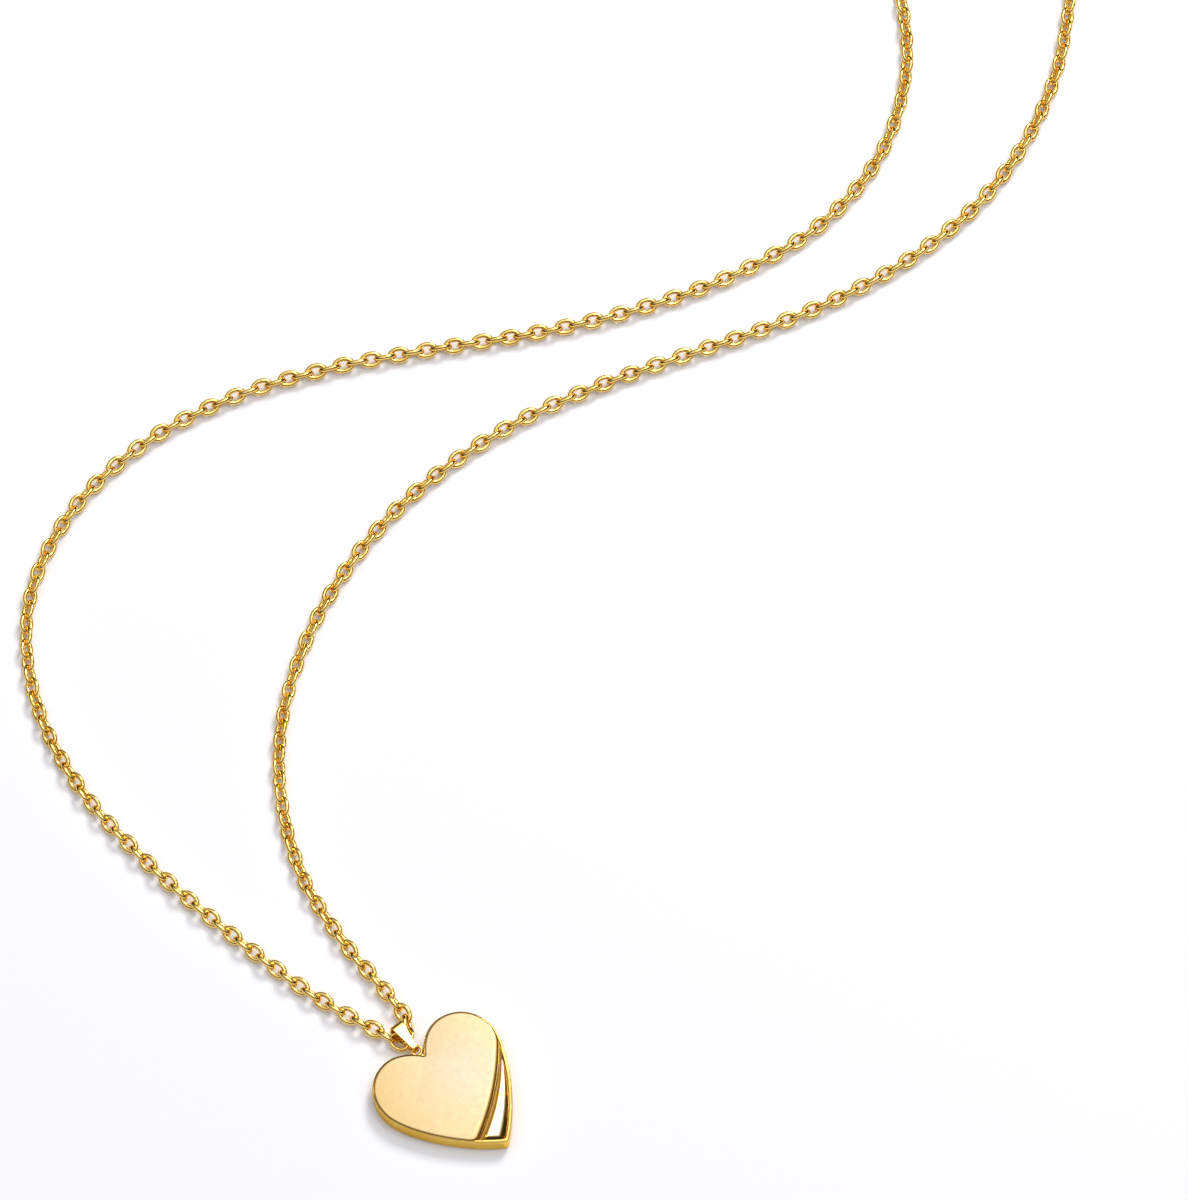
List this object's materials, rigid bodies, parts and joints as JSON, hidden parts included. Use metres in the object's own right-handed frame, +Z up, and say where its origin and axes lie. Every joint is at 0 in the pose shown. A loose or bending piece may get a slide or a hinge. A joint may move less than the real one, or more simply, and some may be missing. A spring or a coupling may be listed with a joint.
{
  "type": "pendant necklace",
  "caption": "Gold-coloured necklace: satin heart pendant with a polished crescent, tapered bail, fine cable chain and spring-ring clasp.",
  "frame": {"origin": "middle of the heart's back face, on the heart's widest line, on the plane that the necklace lies on", "axes": "+Z up, out of the heart's front; the chain's closed end lies towards +Y; the heart's tip points to +X and -Y"},
  "size_m": [0.1183, 0.1724, 0.0025],
  "materials": {
    "polished_gold": "polished yellow gold plate",
    "satin_gold": "fine satin yellow gold plate",
    "mirror_gold": "mirror polished gold plate",
    "chain_gold": "bright polished gold wire",
    "spring_steel": "bare spring wire"
  },
  "bodies": {
    "chain": {"strand_left": "chain_gold", "strand_right": "chain_gold", "bail_link": "chain_gold", "left_link_1": "chain_gold", "left_link_2": "chain_gold", "left_link_3": "chain_gold", "left_link_4": "chain_gold", "left_link_5": "chain_gold", "left_link_6": "chain_gold", "right_link_1": "chain_gold", "right_link_2": "chain_gold", "right_link_3": "chain_gold", "right_link_4": "chain_gold", "right_link_5": "chain_gold", "right_link_6": "chain_gold", "left_end_link_1": "chain_gold", "left_end_link_2": "chain_gold", "left_end_link_3": "chain_gold", "right_end_link_1": "chain_gold", "right_end_link_2": "chain_gold", "right_end_link_3": "chain_gold"},
    "bail": {"bail_strap": "polished_gold"},
    "pendant": {"heart_case": "polished_gold", "satin_front_plate": "satin_gold", "crescent_mirror": "mirror_gold", "crescent_ridge_wire": "polished_gold", "heart_back_plate": "polished_gold", "heart_eye_ring": "polished_gold"},
    "left_ring": {"left_end_ring": "polished_gold"},
    "right_ring": {"right_end_ring": "polished_gold"},
    "clasp": {"clasp_tube": "polished_gold", "clasp_eye": "polished_gold", "clasp_spring": "spring_steel"},
    "trigger": {"clasp_bolt": "polished_gold"}
  },
  "joints": [
    {"name": "bail_swing", "type": "hinge", "parent": "chain", "child": "bail", "pos_m": [-0.00339, 0.00417, 0.00122], "axis": [0.7373, 0.6756, 0], "range_deg": [-15, 15]},
    {"name": "heart_swing", "type": "hinge", "parent": "bail", "child": "pendant", "pos_m": [-0.00258, 0.00282, 0.00127], "axis": [0.7373, 0.6756, 0], "range_deg": [-70, 70]},
    {"name": "left_ring_swing", "type": "hinge", "parent": "chain", "child": "left_ring", "pos_m": [0.05433, 0.1614, 0.00092], "axis": [0, 1, 0], "range_deg": [-45, 45]},
    {"name": "clasp_swing", "type": "hinge", "parent": "left_ring", "child": "clasp", "pos_m": [0.05621, 0.1614, 0.00062], "axis": [0, 1, 0], "range_deg": [-60, 60]},
    {"name": "clasp_trigger", "type": "hinge", "parent": "clasp", "child": "trigger", "pos_m": [0.0596, 0.1614, 0.00062], "axis": [0, 0, 1], "range_deg": [0, 55], "stiffness_Nm_per_rad": 0.0002, "springref_deg": -11.46, "deforming": ["clasp_spring"]},
    {"name": "right_ring_swing", "type": "hinge", "parent": "chain", "child": "right_ring", "pos_m": [0.06556, 0.1614, 0.00091], "axis": [0, 1, 0], "range_deg": [-45, 45]}
  ]
}
